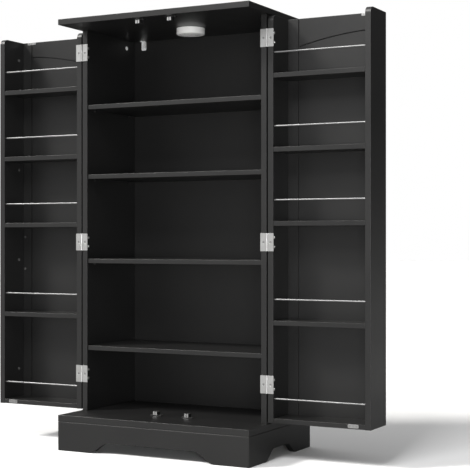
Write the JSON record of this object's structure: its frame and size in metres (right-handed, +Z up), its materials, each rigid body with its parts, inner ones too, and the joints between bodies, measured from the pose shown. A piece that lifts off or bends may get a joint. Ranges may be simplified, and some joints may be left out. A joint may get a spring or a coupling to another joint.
{
  "type": "pantry cabinet",
  "caption": "Tall narrow two-door pantry cabinet in black with chrome-railed door racks, shelves, a puck light and bracket-foot plinth, doors open",
  "frame": {"origin": "centre of the footprint's bounding box, on the floor", "axes": "+Z up; -Y is the front, where the doors close; +X is the right-hand side seen from the front"},
  "size_m": [1.182, 0.382, 1.205],
  "materials": {
    "black_lacquer": "satin near-black lacquer on fibreboard",
    "back_board": "thin black-faced board",
    "hinge_nickel": "bright nickel plate",
    "rail_chrome": "polished",
    "handle_nickel": "satin nickel",
    "catch_steel": "bright zinc plate",
    "bracket_white": "white powder coat",
    "light_plastic": "light grey, fine satin",
    "light_diffuser": "translucent white"
  },
  "bodies": {
    "carcass": {"back_panel": "back_board", "base_board": "black_lacquer", "cabinet_leaf_left_high": "hinge_nickel", "cabinet_leaf_left_low": "hinge_nickel", "cabinet_leaf_left_middle": "hinge_nickel", "cabinet_leaf_right_high": "hinge_nickel", "cabinet_leaf_right_low": "hinge_nickel", "cabinet_leaf_right_middle": "hinge_nickel", "cabinet_shelf_1": "black_lacquer", "cabinet_shelf_2": "black_lacquer", "cabinet_shelf_3": "black_lacquer", "cabinet_shelf_4": "black_lacquer", "light_housing": "light_plastic", "magnet_catch_left_high": "catch_steel", "magnet_catch_left_low": "catch_steel", "magnet_catch_right_high": "catch_steel", "magnet_catch_right_low": "catch_steel", "plinth_front": "black_lacquer", "plinth_left": "black_lacquer", "plinth_rear": "black_lacquer", "plinth_right": "black_lacquer", "side_panel_left": "black_lacquer", "side_panel_right": "black_lacquer", "top_panel": "black_lacquer", "wall_bracket": "bracket_white"},
    "door_left": {"door_leaf_left_high": "hinge_nickel", "door_leaf_left_low": "hinge_nickel", "door_leaf_left_middle": "hinge_nickel", "door_panel_left": "black_lacquer", "door_tray_left_1": "black_lacquer", "door_tray_left_2": "black_lacquer", "door_tray_left_3": "black_lacquer", "door_tray_left_4": "black_lacquer", "door_tray_left_5": "black_lacquer", "free_wall_left": "black_lacquer", "guard_rail_left_1": "rail_chrome", "guard_rail_left_2": "rail_chrome", "guard_rail_left_3": "rail_chrome", "guard_rail_left_4": "rail_chrome", "guard_rail_left_5": "rail_chrome", "handle_left": "handle_nickel", "hinge_wall_left": "black_lacquer"},
    "door_right": {"door_leaf_right_high": "hinge_nickel", "door_leaf_right_low": "hinge_nickel", "door_leaf_right_middle": "hinge_nickel", "door_panel_right": "black_lacquer", "door_tray_right_1": "black_lacquer", "door_tray_right_2": "black_lacquer", "door_tray_right_3": "black_lacquer", "door_tray_right_4": "black_lacquer", "door_tray_right_5": "black_lacquer", "free_wall_right": "black_lacquer", "guard_rail_right_1": "rail_chrome", "guard_rail_right_2": "rail_chrome", "guard_rail_right_3": "rail_chrome", "guard_rail_right_4": "rail_chrome", "guard_rail_right_5": "rail_chrome", "handle_right": "handle_nickel", "hinge_wall_right": "black_lacquer"},
    "light_lens": {"light_lens": "light_diffuser"}
  },
  "joints": [
    {"name": "door_right_hinge", "type": "hinge", "parent": "carcass", "child": "door_right", "pos_m": [0.2965, -0.0803, 0.0985], "axis": [0, 0, -1], "range_deg": [0, 180]},
    {"name": "door_left_hinge", "type": "hinge", "parent": "carcass", "child": "door_left", "pos_m": [-0.2965, -0.0803, 0.0985], "axis": [0, 0, 1], "range_deg": [0, 180]},
    {"name": "light_press", "type": "slide", "parent": "carcass", "child": "light_lens", "axis": [0, 0, 1], "range_m": [0, 0.002], "stiffness_N_per_m": 300, "springref_m": -0.002}
  ]
}
